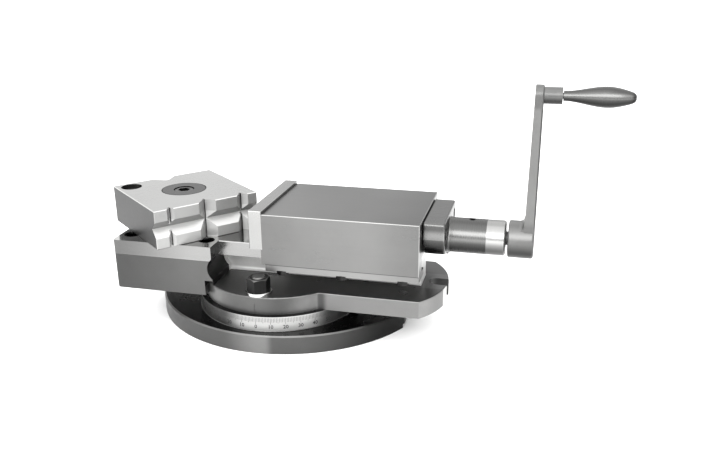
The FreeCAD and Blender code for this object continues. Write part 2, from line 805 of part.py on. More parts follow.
def make_lead_screw():
    z = screw_axis_height
    collar_left = block_right - screw_collar_length - turn_play
    thread = rod(screw_radius, collar_left - screw_left_end + lap, V(screw_left_end, 0, z), ALONG)
    tip = edges_where(thread, lambda e: middle(e).x < screw_left_end + near)
    shape = thread.makeChamfer(screw_tip_chamfer, tip)
    shape = shape.fuse(rod(screw_collar_radius, screw_collar_length, V(collar_left, 0, z), ALONG))
    shape = shape.fuse(rod(journal_radius, collar_end - collar_left - lap, V(collar_left + lap, 0, z), ALONG))
    end_length = crank_right - screw_end_recess - collar_end + lap
    shape = shape.fuse(rod(screw_end_radius, end_length, V(collar_end - lap, 0, z), ALONG))
    shape = shape.cut(pin_hole(collar_pin_radius, collar_pin_x))
    return shape.cut(pin_hole(crank_pin_radius, crank_pin_x))


def pin_hole(radius, x):
    # The pins are driven in from the back and end blind behind the front face.
    front = pin_blind_reach + lap
    return rod(radius + pin_play, front + hub_radius + past, V(x, -front, screw_axis_height), ACROSS)


def make_thrust_collar():
    left = tube_end + turn_play
    shape = rod(tube_radius, collar_end - left, V(left, 0, screw_axis_height), ALONG)
    right = edges_where(shape, lambda e: middle(e).x > collar_end - near)
    shape = shape.makeChamfer(collar_edge_chamfer, right)
    shape = shape.cut(rod(journal_radius + pin_play, collar_end - left, V(left, 0, screw_axis_height), ALONG))
    return shape.cut(pin_hole(collar_pin_radius, collar_pin_x))


def make_crank():
    z = screw_axis_height
    hub = rod(hub_radius, hub_length, V(crank_left, 0, z), ALONG)
    hub = hub.makeFillet(hub_left_radius, edges_where(hub, lambda e: middle(e).x < crank_left + near))
    hub = hub.makeFillet(hub_right_radius, edges_where(hub, lambda e: middle(e).x > crank_right - near))
    root_left = crank_right - arm_root_thickness
    tip_left = crank_right - arm_tip_thickness
    top = arm_top_z + arm_tip_radius
    reach = hub_radius + past
    low = z - reach
    side = [V(root_left, -reach, low), V(crank_right, -reach, low), V(crank_right, -reach, top + past)]
    side.append(V(tip_left, -reach, top + past))
    wedge = prism(side, V(0, 2.0 * reach, 0))
    arm = Part.Face(tapered_arm_outline(z, arm_top_z, 0.0)).extrude(V(hub_length, 0, 0))
    arm = arm.common(wedge)
    arm = arm.makeFillet(arm_edge_radius, edges_where(arm, lambda e: middle(e).x > crank_right - near))
    shape = hub.fuse(arm).removeSplitter()
    shape = shape.fuse(arm_root(root_left, z))
    boss = rod(boss_radius, boss_length + lap, V(crank_right - lap, 0, arm_top_z), ALONG)
    shape = shape.fuse(boss)
    shape = shape.cut(rod(screw_end_radius + pin_play, hub_length, V(crank_left, 0, z), ALONG))
    pin_length = boss_length + arm_tip_thickness + 2.0 * past
    shape = shape.cut(rod(handle_pin_radius + pin_play, pin_length, V(tip_left - past, 0, arm_top_z), ALONG))
    return shape.cut(pin_hole(crank_pin_radius, crank_pin_x))


def arm_root(left, z):
    # Concave blend from the round hub up to the left face of the arm.
    r = arm_root_blend
    ring = rod(hub_radius + r, r + lap, V(left - r, 0, z), ALONG)
    ring = ring.cut(Part.makeTorus(hub_radius + r, r, V(left - r, 0, z), ALONG))
    ring = ring.cut(rod(hub_radius - lap, r + lap, V(left - r, 0, z), ALONG))
    arm = Part.Face(tapered_arm_outline(z, arm_top_z, lap)).extrude(V(hub_length, 0, 0))
    upper = box(left - r, left + lap, -hub_radius, hub_radius, z, arm_top_z)
    return ring.common(arm).common(upper)


def tapered_arm_outline(low_z, high_z, inset):
    # Two round ends joined by their outer tangents, in the plane x = crank_left.
    x = crank_left
    root = arm_root_half_width - inset
    tip = arm_tip_radius - inset
    lean = math.asin((root - tip) / (high_z - low_z))
    dy = math.cos(lean)
    dz = math.sin(lean)
    a = V(x, -root * dy, low_z + root * dz)
    b = V(x, -tip * dy, high_z + tip * dz)
    c = V(x, tip * dy, high_z + tip * dz)
    d = V(x, root * dy, low_z + root * dz)
    top = Part.Arc(b, V(x, 0, high_z + tip), c).toShape()
    low = Part.Arc(d, V(x, 0, low_z - root), a).toShape()
    return Part.Wire([Part.LineSegment(a, b).toShape(), top, Part.LineSegment(c, d).toShape(), low])


def make_cross_pin(radius, back_end, x):
    pin = rod(radius, pin_blind_reach + back_end, V(x, -pin_blind_reach, screw_axis_height), ACROSS)
    return pin.makeChamfer(edge_break, edges_where(pin, lambda e: middle(e).y > back_end - near))


def make_handle_pin():
    start = crank_right - arm_tip_thickness
    end = grip_left + handle_pin_reach
    shape = rod(handle_pin_radius, end - start, V(start, 0, arm_top_z), ALONG)
    head_start = V(end - handle_pin_head_length, 0, arm_top_z)
    head = rod(handle_pin_head_radius, handle_pin_head_length, head_start, ALONG)
    return shape.fuse(head)


def make_handle_grip():
    z = arm_top_z
    x0 = grip_left
    x1 = grip_left + grip_length
    p0 = V(x0, 0, z)
    p1 = V(x0, 0, z + grip_neck_radius)
    p2 = V(x0 + grip_hollow_at, 0, z + grip_hollow_radius)
    p3 = V(x0 + grip_waist_at, 0, z + grip_waist_radius)
    p4 = V(x0 + grip_shoulder_at, 0, z + grip_shoulder_radius)
    p5 = V(x1, 0, z + grip_end_flat_radius)
    p6 = V(x1, 0, z)
    side = Part.BSplineCurve()
    side.interpolate([p1, p2, p3, p4, p5], InitialTangent=ALONG, FinalTangent=DOWN)
    profile = Part.Wire([Part.LineSegment(p0, p1).toShape(), side.toShape(),
                         Part.LineSegment(p5, p6).toShape(), Part.LineSegment(p6, p0).toShape()])
    shape = Part.Face(profile).revolve(V(0, 0, z), ALONG, 360)
    bore = rod(handle_pin_radius + grip_play, handle_pin_reach, V(x0, 0, z), ALONG)
    pocket_left = x0 + handle_pin_reach - handle_pin_head_length - grip_end_play
    pocket_length = handle_pin_head_length + 2.0 * grip_end_play
    pocket = rod(handle_pin_head_radius + grip_head_play, pocket_length, V(pocket_left, 0, z), ALONG)
    return shape.cut(bore.fuse(pocket))


nodes = {
    "swivel_base": make_base(),
    "vise_body": make_vise_body(),
    "lead_nut": make_lead_nut(),
    "lead_nut_screws": make_lead_nut_screws(),
    "tee_bolts": make_tee_bolts(),
    "ear_washers": make_ear_washers(),
    "ear_nuts": make_ear_nuts(),
    "pivot_bush": make_pivot_bush(),
    "pivot_screw": make_pivot_screw(),
    "swivel_jaw": make_swivel_jaw(),
    "lock_screw": make_lock_screw(),
    "slide_block": make_slide_block(),
    "jaw_plate": make_jaw_plate(),
    "jaw_plate_screws": make_jaw_plate_screws(),
    "keeper_front": make_keeper(-1),
    "keeper_back": make_keeper(1),
    "keeper_screws": make_keeper_screws(),
    "screw_bracket": make_screw_bracket(),
    "bracket_screws": make_bracket_screws(),
    "lead_screw": make_lead_screw(),
    "thrust_collar": make_thrust_collar(),
    "collar_pin": make_cross_pin(collar_pin_radius, tube_radius - lap, collar_pin_x),
    "crank": make_crank(),
    "crank_pin": make_cross_pin(crank_pin_radius, hub_radius - lap, crank_pin_x),
    "handle_pin": make_handle_pin(),
    "handle_grip": make_handle_grip(),
}

for name, shape in nodes.items():
    if not shape.isValid():
        raise ValueError("shape is not valid: " + name)
    shape.exportStep("parts/" + name + ".step")
    print(name, len(shape.Solids), round(shape.Volume / 1000.0, 2), shape.BoundBox)
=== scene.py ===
import math
import bmesh
import bpy
from mathutils import Matrix, Vector


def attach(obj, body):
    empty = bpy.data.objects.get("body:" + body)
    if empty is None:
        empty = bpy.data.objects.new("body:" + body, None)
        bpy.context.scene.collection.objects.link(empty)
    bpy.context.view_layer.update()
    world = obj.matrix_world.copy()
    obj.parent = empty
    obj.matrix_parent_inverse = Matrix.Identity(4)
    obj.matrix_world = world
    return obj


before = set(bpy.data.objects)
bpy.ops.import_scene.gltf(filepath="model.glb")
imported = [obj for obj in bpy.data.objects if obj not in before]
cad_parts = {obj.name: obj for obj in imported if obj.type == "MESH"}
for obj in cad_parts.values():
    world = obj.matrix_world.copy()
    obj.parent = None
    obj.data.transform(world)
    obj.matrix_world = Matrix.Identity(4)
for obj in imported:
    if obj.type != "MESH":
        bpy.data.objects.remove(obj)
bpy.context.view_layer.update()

# Looks of the swivel milling vise. Everything is in metres, in the frame of the
# imported model; the finishes read object coordinates, turned to millimetres.
# Many tones are painted light and shade, set by place and by the way a face looks, to come near the soft
# reflections of the photo.

MM = 0.001

# Places on the model, in millimetres
JAW_AXIS_X = -93.0
JAW_ANGLE = math.radians(49.66)
RING_RADIUS = 75.4
BASE_TOP = 17.0
FLANGE_TOP = 46.1
HEAD_BOTTOM = 69.5
WAY_TOP = 82.7
KEEPER_TOP = 69.45
LEVEL_VEE_HEIGHT = 100.0
LEVEL_VEE_HALF_HEIGHT = 7.4
EAR_RADIUS = 69.8
EAR_HOLE_OFFSET = 58.0
FLANGE_SLOT_HALF_WIDTH = 7.4
FLANGE_SLOT_START = 140.0
WEB_HALF_WIDTH = 17.0
WEB_START = -50.0
SEAT_RIGHT = -45.1
LOCK_HOLE_OFFSET = 37.0
SEAT_HOLE_RADIUS = 7.5
LOCK_BORE_RADIUS = 10.3
BUSH_RADIUS = 20.3
BUSH_BORE_RADIUS = 9.4
PLATE_BACK = 2.0
BRACKET_RIGHT = 158.6
OIL_HOLE_X = 178.0
OIL_HOLE_RADIUS = 3.4
SCREW_HEIGHT = 92.2
HANDLE_HEIGHT = 216.7
SCALLOP_LEFT = -58.0
SCALLOP_RIGHT = -30.0
HUB_TOP = 106.0
CRANK_ARM = (105.0, 114.0, 205.0, 209.0)

# Bands of painted light, where the light falls in the photo, as the two ramps of a band along one axis
BLOCK_LIGHT = (-10.0, 70.0, 80.0, 155.0)
RING_LIGHT = (-30.0, -6.0, 44.0, 60.0)
RIM_LIGHT = (-30.0, 6.0, 12.0, 20.0)
BRACKET_LIGHT = (95.0, 99.0, 103.0, 108.0)


# Plain arithmetic on node sockets

def join(tree, value, place):
    if isinstance(value, Value):
        tree.links.new(value.socket, place)
    else:
        place.default_value = value


class Value:
    """A socket of a node tree that takes part in plain arithmetic."""

    def __init__(self, tree, socket):
        self.tree = tree
        self.socket = socket

    def math(self, operation, *values):
        node = self.tree.nodes.new("ShaderNodeMath")
        node.operation = operation
        for value, place in zip(values, node.inputs):
            join(self.tree, value, place)
        return Value(self.tree, node.outputs[0])

    def __add__(self, other):
        return self.math("ADD", self, other)

    def __radd__(self, other):
        return self.math("ADD", other, self)

    def __sub__(self, other):
        return self.math("SUBTRACT", self, other)

    def __rsub__(self, other):
        return self.math("SUBTRACT", other, self)

    def __mul__(self, other):
        return self.math("MULTIPLY", self, other)

    def __rmul__(self, other):
        return self.math("MULTIPLY", other, self)

    def __gt__(self, other):
        return self.math("GREATER_THAN", self, other)

    def __lt__(self, other):
        return self.math("LESS_THAN", self, other)

    def __abs__(self):
        return self.math("ABSOLUTE", self)

    def at_least(self, other):
        return self.math("MAXIMUM", self, other)

    def root(self):
        return self.math("SQRT", self)

    def mixed(self, other, share):
        return self + (other - self) * share


def distance(across, along):
    # How far a place is from the middle, by its two parts.
    return (across * across + along * along).root()


class Finish:
    """One material, written as arithmetic on its own sockets."""

    def __init__(self, name, flat=False):
        # A flat finish takes the true normal, so no face is shaded round.
        self.material = bpy.data.materials.new(name)
        self.material.use_nodes = True
        self.tree = self.material.node_tree
        self.tree.nodes.clear()
        place = self.node("ShaderNodeTexCoord", out="Object")
        self.x, self.y, self.z = self.parts(self.scaled(place, 1.0 / MM))
        facing = self.node("ShaderNodeTexCoord", out="Normal")
        self.true_normal = None
        if flat:
            self.true_normal = self.node("ShaderNodeNewGeometry", out="True Normal")
            ways = {"vector_type": "NORMAL", "convert_from": "WORLD", "convert_to": "OBJECT"}
            facing = self.node("ShaderNodeVectorTransform", {0: self.true_normal}, **ways)
        self.nx, self.ny, self.nz = self.parts(facing)

    def node(self, kind, values=(), out=0, **settings):
        made = self.tree.nodes.new(kind)
        for key, setting in settings.items():
            setattr(made, key, setting)
        for key, value in dict(values).items():
            join(self.tree, value, made.inputs[key])
        return Value(self.tree, made.outputs[out])

    def scaled(self, vector, factor):
        return self.node("ShaderNodeVectorMath", {0: vector, 1: (factor, factor, factor)}, operation="MULTIPLY")

    def parts(self, vector):
        made = self.tree.nodes.new("ShaderNodeSeparateXYZ")
        join(self.tree, vector, made.inputs[0])
        return [Value(self.tree, socket) for socket in made.outputs]

    def vector(self, x, y, z):
        return self.node("ShaderNodeCombineXYZ", {0: x, 1: y, 2: z})

    def noise(self, x, y, z, detail=3.0, roughness=0.5):
        values = {"Vector": self.vector(x, y, z), "Scale": 1.0, "Detail": detail, "Roughness": roughness}
        return self.node("ShaderNodeTexNoise", values, out=0) - 0.5

    def step(self, value, low, high):
        values = {"Value": value, "From Min": low, "From Max": high}
        return self.node("ShaderNodeMapRange", values, interpolation_type="SMOOTHSTEP")

    def band(self, value, rise_low, rise_high, fall_low, fall_high):
        # One between the two ramps, zero outside them.
        return self.step(value, rise_low, rise_high) * (1.0 - self.step(value, fall_low, fall_high))

    def clouds(self, size=40.0, detail=4.0):
        k = 1.0 / size
        return self.noise(self.x * k, self.y * k, self.z * k, detail, 0.55)

    def streaks(self, along, across, other):
        # Fine parallel scratches that run in the first direction.
        fineness = 2.4
        fine = self.noise(along * 0.03, across * fineness, other * fineness, 4.0, 0.6)
        broad = self.noise(along * 0.008, across * 0.35, other * 0.35, 2.0, 0.5)
        return fine + broad

    def edges(self, nx, ny, nz):
        # One on the narrow faces between two main faces, zero on those.
        flat = abs(ny).at_least(abs(nx)).at_least(abs(nz))
        return 1.0 - self.step(flat, 0.80, 0.97)

    def close(self, shade, rough, metallic, height=None, depth=0.02,
              tint=(1.0, 1.0, 0.985), specular=0.5):
        grey = shade.at_least(0.0)
        colour = self.node("ShaderNodeCombineColor", {0: grey * tint[0], 1: grey * tint[1], 2: grey * tint[2]})
        values = {"Base Color": colour, "Roughness": rough, "Metallic": metallic,
                  "Specular IOR Level": specular}
        if height is not None:
            bump = {"Height": height, "Strength": 0.5, "Distance": depth * MM}
            if self.true_normal is not None:
                bump["Normal"] = self.true_normal
            values["Normal"] = self.node("ShaderNodeBump", bump)
        shader = self.node("ShaderNodeBsdfPrincipled", values)
        made = self.tree.nodes.new("ShaderNodeOutputMaterial")
        join(self.tree, shader, made.inputs["Surface"])
        return self.material


# Finishes

def satin_block(name, shade, top_shade, rough, along="x", edge_shade=0.45):
    # Ground box with light scratches along one axis and dark lines where the plate and the keepers meet the
    # block. Painted light and shade: the top has its own tone, darker than the sides, a band of painted light
    # runs along the middle, the top darkens towards the crank end as painted shade, and the edges are lighter
    # as a painted highlight.
    f = Finish(name, flat=True)
    axes = {"x": (f.x, f.y, f.z), "y": (f.y, f.x, f.z)}[along]
    grain = f.streaks(*axes)
    cloud = f.clouds(55.0)
    up = f.step(f.nz, 0.6, 0.9)
    edge = f.edges(f.nx, f.ny, f.nz)
    middle = f.band(f.x, *BLOCK_LIGHT)
    tone = up * (top_shade - shade) + shade
    tone = tone * (0.88 + grain * 0.04 + cloud * 0.36 + middle * 0.22)
    tone = tone * (1.0 - up * f.step(f.x, 85.0, 150.0) * 0.12)
    tone = tone.mixed(edge_shade, edge * (0.75 + cloud))
    joint = f.band(f.x, PLATE_BACK - 0.3, PLATE_BACK - 0.1, PLATE_BACK + 0.05, PLATE_BACK + 0.25)
    joint = joint * (f.z > WAY_TOP + 0.2)
    seam = f.band(f.z, KEEPER_TOP - 0.6, KEEPER_TOP - 0.3, KEEPER_TOP, KEEPER_TOP + 0.1)
    tone = tone * (1.0 - (joint * 0.45).at_least(seam * 0.75))
    return f.close(tone, rough + cloud * 0.16 + grain * 0.04, 1.0, grain, 0.0025)


def jaw_finish():
    # The jaw's own directions: u along its long vee face, w towards its back.
    f = Finish("jaw_ground", flat=True)
    c = math.cos(JAW_ANGLE)
    s = math.sin(JAW_ANGLE)
    dx = f.x - JAW_AXIS_X
    u = dx * c + f.y * s
    w = f.y * c - dx * s
    nu = f.nx * c + f.ny * s
    nw = f.ny * c - f.nx * s
    up = f.step(f.nz, 0.85, 0.95)
    end = f.step(abs(nu), 0.9, 0.98)
    grain = f.streaks(u, w, f.z)
    cloud = f.clouds(45.0)
    edge = f.edges(nu, nw, f.nz) * f.step(abs(f.nz) - abs(nw), -0.9, -0.2)
    high = f.z > LEVEL_VEE_HEIGHT + LEVEL_VEE_HALF_HEIGHT
    under = f.nz < -0.5
    over = (f.nz > 0.5) * (1.0 - up)
    from_lock = distance(u + LOCK_HOLE_OFFSET, w - LOCK_HOLE_OFFSET)
    bore = (from_lock < LOCK_BORE_RADIUS) * (1.0 - up)
    # Painted light and shade by where a face is and which way it looks: the upper faces darker, faces that look
    # down darker, upward flanks lighter, the top its own tone, the end faces near black, and the lock bore
    # darkened as painted shade in a recess.
    tone = 0.33 - high * 0.085
    tone = tone.mixed(0.105, under).mixed(0.43, over).mixed(0.295, up)
    tone = tone.mixed(0.020, end).mixed(0.012, bore)
    tone = tone * (1.0 + grain * 0.07 + cloud * 0.14)
    worn = f.step(f.noise(f.x * 0.25, f.y * 0.25, f.z * 0.25, 5.0, 0.7), 0.10, 0.30)
    tone = tone - worn * 0.03
    rough = 0.36 - up * 0.08 + end * 0.08 + cloud * 0.05 + grain * 0.04
    # Edges lighter as a painted highlight.
    return f.close(tone + edge * 0.06, rough, 0.48 + up * 0.52, grain, 0.003)


def body_finish():
    # Cast iron below the ground band of the head, ground steel above it.
    f = Finish("body_iron_and_ground")
    grain = f.streaks(f.x, f.y, f.z)
    cloud = f.clouds(35.0, 5.0)
    skin = f.noise(f.x * 0.9, f.y * 0.9, f.z * 0.9, 6.0, 0.6)
    up = f.step(f.nz, 0.6, 0.9)
    ground = f.z > HEAD_BOTTOM - 0.06
    near_axis = (distance(f.x, f.y) < EAR_RADIUS + 0.8).at_least(f.x > -20.0)
    flange = (f.z < FLANGE_TOP + 0.4) * near_axis
    web = (abs(f.y) < WEB_HALF_WIDTH) * (f.x > WEB_START) * (f.z < HEAD_BOTTOM)
    slot = (abs(f.y) < FLANGE_SLOT_HALF_WIDTH) * (f.x > FLANGE_SLOT_START) * (1.0 - up)
    seat = f.x < SEAT_RIGHT + 0.1
    edge = f.edges(f.nx, f.ny, f.nz)
    # Painted light and shade on the cast iron: lighter from left to right, the straight side of the flange
    # lighter and the right part of the ear darker, the flange top its own tone and darker towards the right,
    # and the web under the way much lighter, with less metal in it, as painted light.
    right = f.step(f.x, -140.0, -55.0)
    straight = flange * f.step(f.x, 54.0, 60.0)
    ear_right = flange * f.step(f.x, 0.0, 26.0) * (1.0 - straight)
    cast = 0.062 + right * 0.036 + straight * 0.075 - ear_right * 0.030
    cast = cast.mixed(0.098 - f.step(f.x, -15.0, 60.0) * 0.055, up * flange)
    cast = cast.mixed(0.55, web * (1.0 - up * flange))
    # The scallop hollow and the walls of the flange slot are darkened as painted shade in recesses.
    hollow = (f.x > SCALLOP_LEFT) * (f.x < SCALLOP_RIGHT) * (f.z > FLANGE_TOP - 1.0)
    hollow = hollow * (abs(f.ny) < 0.5) * (f.nz < 0.9)
    cast = cast.mixed(0.04, slot).mixed(0.010, hollow * (1.0 - web))
    cast = cast * (1.0 + cloud * 0.35 + skin * 0.12)
    # Edges of the flange lighter as a painted highlight.
    cast = cast.mixed(0.30, edge * flange * (0.35 + cloud) * (1.0 - slot))
    # On the ground steel the top is lighter than the sides, the seat's sides are darker at the left and its
    # right end is near black, all as painted light and shade.
    bright = (0.26 - seat * (1.0 - up) * (1.0 - right) * 0.14).mixed(0.42, up)
    bright = bright.mixed(0.014, f.step(f.nx, 0.8, 0.95) * seat)
    bright = bright * (1.0 + grain * 0.08 + cloud * 0.14)
    # The seat's holes are darkened as painted shade in recesses.
    from_hole = distance(abs(f.x - JAW_AXIS_X) - LOCK_HOLE_OFFSET, abs(f.y) - LOCK_HOLE_OFFSET)
    hole = (from_hole < SEAT_HOLE_RADIUS) * (f.z < WAY_TOP - 0.02)
    bright = bright.mixed(0.012, hole)
    tone = cast.mixed(bright, ground)
    rough_cast = 0.42 + cloud * 0.15 - up * flange * 0.12
    rough_ground = 0.24 + up * -0.12 + grain * 0.05
    rough = rough_cast.mixed(rough_ground, ground)
    height = (skin * 0.6).mixed(grain * 0.25, ground)
    return f.close(tone, rough, 0.85 + ground * 0.15 - web * 0.5, height, 0.03)


def base_finish():
    # Dark cast plate with the turned ring of the scale, bright only in a band of painted light.
    f = Finish("base_iron_and_ring")
    radius = distance(f.x, f.y)
    ring = (f.z > BASE_TOP + 0.9) * (radius > RING_RADIUS - 0.6)
    up = f.step(f.nz, 0.6, 0.9)
    edge = f.edges(0.0, distance(f.nx, f.ny), f.nz)
    cloud = f.clouds(40.0, 5.0)
    skin = f.noise(f.x * 0.9, f.y * 0.9, f.z * 0.9, 6.0, 0.6)
    turned = f.noise(radius * 2.2, f.z * 2.2, f.x * 0.02, 4.0, 0.6)
    upright = f.noise(f.x * 1.6, f.y * 1.6, f.z * 0.05, 3.0, 0.6)
    # Painted shade: the plate darkens to a tenth towards its right end, and at its left its sides are a little
    # darker and its top much darker.
    left = 1.0 - f.step(f.x, -85.0, -25.0)
    painted_end_shade = (1.0 - f.step(f.x, 38.0, 118.0) * 0.90) * (1.0 - left * (0.18 + up * 0.5))
    # The rim has a band of painted highlight, and the top is far darker than the rim, partly its own dark paint
    # and partly painted shade.
    painted_sheen = f.band(f.x, *RIM_LIGHT)
    cast = 0.076 + painted_sheen * 0.080 - up * (0.068 + painted_sheen * 0.080)
    cast = cast * (1.0 + cloud * 0.40 + skin * 0.10) * painted_end_shade
    # Edges lighter as a painted highlight.
    cast = cast.mixed(0.22, edge * (0.45 + cloud) * painted_end_shade)
    # The ring's tone is low outside a band of painted light.
    painted_ring_light = f.band(f.x, *RING_LIGHT)
    bright = (0.052 + painted_ring_light * 0.33) * (1.0 + turned * 0.12 + upright * 0.14 + cloud * 0.12)
    tone = cast.mixed(bright, ring)
    rough = (0.38 + cloud * 0.15 - up * 0.12).mixed(0.36 + turned * 0.10, ring)
    height = (skin * 0.6).mixed(turned * 0.3, ring)
    return f.close(tone, rough, 0.85 - ring * 0.30, height, 0.03)


def turned_steel(name, shade, rough, height, end_shade=None, slab_shade=None, glow=0.0, rim=0.25):
    # Turned about an axis along X at this height: rings round the axis. Painted light and shade: a highlight
    # band of this glow, slopes changed in tone by this rim, darker undersides, a darker upper part, and end
    # faces in their own end shade. A slab shade is the painted tone of the bracket's flat top, which also has a
    # band of painted light on its flat side and the oil hole, darkened as painted shade.
    f = Finish(name)
    radius = distance(f.y, f.z - height)
    rings = f.noise(f.x * 2.6, radius * 2.6, f.y * 0.02, 4.0, 0.6)
    cloud = f.clouds(30.0)
    end = f.step(abs(f.nx), 0.85, 0.97)
    slope = f.band(abs(f.nx), 0.25, 0.5, 0.85, 0.95)
    # End faces take their own end shade, darker as painted shade.
    tone = end * ((shade if end_shade is None else end_shade) - shade) + shade
    tone = tone * (1.0 + rings * 0.14 + cloud * 0.18)
    # Painted light and shade on slopes: lighter where rim is above nought, darker where it is below.
    tone = tone * (1.0 + slope * rim)
    # Faces that look down are darkened as painted shade.
    tone = tone * (0.35 + f.step(f.nz, -0.55, 0.10) * 0.65).mixed(1.0, end)
    # A highlight band is painted across the faces that look a little up, and the upper faces are darkened as
    # painted shade.
    flat_side = (f.x < BRACKET_RIGHT) * (abs(f.nz) < 0.1)
    painted_sheen = f.band(f.nz, -0.20, 0.12, 0.38, 0.68) * (1.0 - end) * (1.0 - flat_side)
    tone = tone * (1.0 + painted_sheen * glow) * (1.0 - f.step(f.nz, 0.50, 0.90) * 0.25)
    if slab_shade is not None:
        # A band of painted light on the bracket's flat side.
        level = flat_side * f.band(f.z, *BRACKET_LIGHT)
        tone = tone * (1.0 + level * (1.0 - end) * 1.2)
        # The bracket's flat top takes the slab shade, lighter than the sides as painted light.
        slab = (f.x < BRACKET_RIGHT) * f.step(f.nz, 0.6, 0.9)
        tone = tone.mixed((1.0 + cloud * 0.3) * slab_shade, slab)
        # The oil hole is darkened as painted shade in a recess.
        from_hole = distance(f.x - OIL_HOLE_X, f.y)
        tone = tone * (1.0 - (from_hole < OIL_HOLE_RADIUS) * (f.z > height) * 0.93)
    return f.close(tone, rough + rings * 0.10 + cloud * 0.08, 1.0, rings, 0.010)


def faced_disc(name, shade, rough, centre_x, centre_y, outline=None):
    # Turned about an upright axis: rings round it on the top face, and sloped faces lighter as a painted
    # highlight. An outline is the inner and the outer radius; the face is darkened in a thin ring just inside
    # the outer one and just outside the inner one.
    f = Finish(name)
    radius = distance(f.x - centre_x, abs(f.y) - centre_y)
    rings = f.noise(radius * 2.4, f.z * 2.0, radius * 0.3, 4.0, 0.6)
    cloud = f.clouds(18.0)
    edge = f.band(f.nz, 0.3, 0.6, 0.85, 0.97)
    tone = (cloud * 0.2 + rings * 0.16 + 1.0) * shade
    # Sloped faces lighter as a painted highlight.
    tone = tone.mixed(shade * 0.5 + 0.20, edge * 0.6)
    if outline is not None:
        inner, outer = outline
        dark_outer = f.step(radius, outer - 0.9, outer - 0.5)
        dark_inner = 1.0 - f.step(radius, inner + 0.5, inner + 0.9)
        tone = tone * (1.0 - dark_outer.at_least(dark_inner) * 0.85)
    return f.close(tone, rough + rings * 0.12, 1.0, rings, 0.010)


def black_screw(name, shade=0.024, edge_shade=0.20, metallic=0.9, specular=0.5):
    # Blackened steel, lighter on its sloped corners and mouths as a painted highlight.
    f = Finish(name)
    cloud = f.clouds(6.0, 5.0)
    fine = f.noise(f.x * 2.0, f.y * 2.0, f.z * 2.0, 5.0, 0.6)
    slope = f.band(f.nz, 0.25, 0.45, 0.88, 0.97)
    tone = (1.0 + cloud * 0.7 + fine * 0.4) * shade
    tone = tone.mixed(edge_shade, slope * (0.45 + cloud))
    return f.close(tone, 0.34 + cloud * 0.2, metallic, fine, 0.02, (1.0, 0.99, 0.97), specular)


def crank_finish():
    # Satin iron, darker below and along the arm's right edge as painted shade, with the arm lighter and a
    # highlight band on the hub as painted light.
    f = Finish("crank_satin_iron")
    cloud = f.clouds(26.0, 5.0)
    skin = f.noise(f.x * 0.7, f.y * 0.7, f.z * 0.7, 6.0, 0.6)
    brushed = f.noise(f.x * 1.8, f.y * 1.8, f.z * 0.04, 4.0, 0.6)
    arm = f.band(f.z, *CRANK_ARM)
    tone = (1.0 + cloud * 0.35 + skin * 0.10 + brushed * 0.14) * (0.115 + arm * 0.045)
    tone = tone * (0.35 + f.step(f.nz, -0.55, 0.10) * 0.65)
    # A highlight band painted on the hub.
    hub = (f.z < HUB_TOP) * f.band(f.nz, -0.05, 0.25, 0.50, 0.80) * (abs(f.nx) < 0.8)
    tone = tone * (1.0 + hub * 0.35) * (1.0 - arm * f.step(f.nx, 0.05, 0.45) * 0.62)
    return f.close(tone, 0.36 + cloud * 0.14, 0.95, skin * 0.6 + brushed * 0.3, 0.04)


def bronze_finish():
    f = Finish("nut_bronze")
    cloud = f.clouds(12.0)
    grain = f.streaks(f.x, f.y, f.z)
    tone = 0.42 * (1.0 + cloud * 0.25 + grain * 0.10)
    return f.close(tone, 0.32 + cloud * 0.1, 1.0, grain, 0.01, (1.0, 0.74, 0.40))


def line_finish():
    # Filled lines and figures of the scale.
    f = Finish("scale_dark_fill")
    cloud = f.clouds(3.0, 4.0)
    tone = 0.018 * (1.0 + cloud * 1.2)
    return f.close(tone, 0.55 + cloud * 0.2, 0.3, cloud, 0.01)


def dress(node, material):
    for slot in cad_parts[node].material_slots:
        slot.material = material


plates = satin_block("plate_ground", 0.355, 0.197, 0.26, along="y")
block = satin_block("block_satin", 0.160, 0.122, 0.30)
keepers = satin_block("keeper_ground", 0.21, 0.16, 0.32, edge_shade=0.30)
bracket = turned_steel("bracket_satin", 0.085, 0.27, SCREW_HEIGHT,
                       end_shade=0.06, slab_shade=0.10, glow=0.95)
black = black_screw("black_screws")
crank = crank_finish()
collar = turned_steel("collar_bright", 0.27, 0.24, SCREW_HEIGHT, glow=0.50)

dress("swivel_base", base_finish())
dress("vise_body", body_finish())
dress("swivel_jaw", jaw_finish())
dress("slide_block", block)
dress("jaw_plate", plates)
dress("keeper_front", keepers)
dress("keeper_back", keepers)
dress("screw_bracket", bracket)
dress("lead_nut", bronze_finish())
bush = faced_disc("bush_turned", 0.022, 0.36, JAW_AXIS_X, 0.0, outline=(BUSH_BORE_RADIUS, BUSH_RADIUS))
dress("pivot_bush", bush)
dress("ear_washers", faced_disc("washer_bright", 0.62, 0.20, 0.0, EAR_HOLE_OFFSET))
dress("ear_nuts", black_screw("nut_black", 0.010, 0.22))
dress("tee_bolts", black_screw("bolt_black", 0.05, 0.22))
# The lead screw is darkened as painted shade, for the gap between the thrust collar and the crank where it
# shows.
dress("lead_screw", turned_steel("screw_shade_dark", 0.060, 0.32, SCREW_HEIGHT))
dress("thrust_collar", collar)
dress("collar_pin", collar)
dress("crank_pin", crank)
dress("crank", crank)
# The handle pin is darkened as painted shade, for the gap between the crank's boss and the grip where it shows.
dress("handle_pin", turned_steel("handle_pin_steel", 0.035, 0.34, HANDLE_HEIGHT))
# The grip gets a highlight band, darker slopes at its tip and darker ends, all as painted light and shade.
grip = turned_steel("grip_polished", 0.078, 0.26, HANDLE_HEIGHT, end_shade=0.03, glow=0.9, rim=-0.55)
dress("handle_grip", grip)
dress("lock_screw", black_screw("lock_black", 0.030, 0.10, metallic=0.0, specular=0.10))
for name in ("lead_nut_screws", "pivot_screw", "jaw_plate_screws", "keeper_screws", "bracket_screws"):
    dress(name, black)


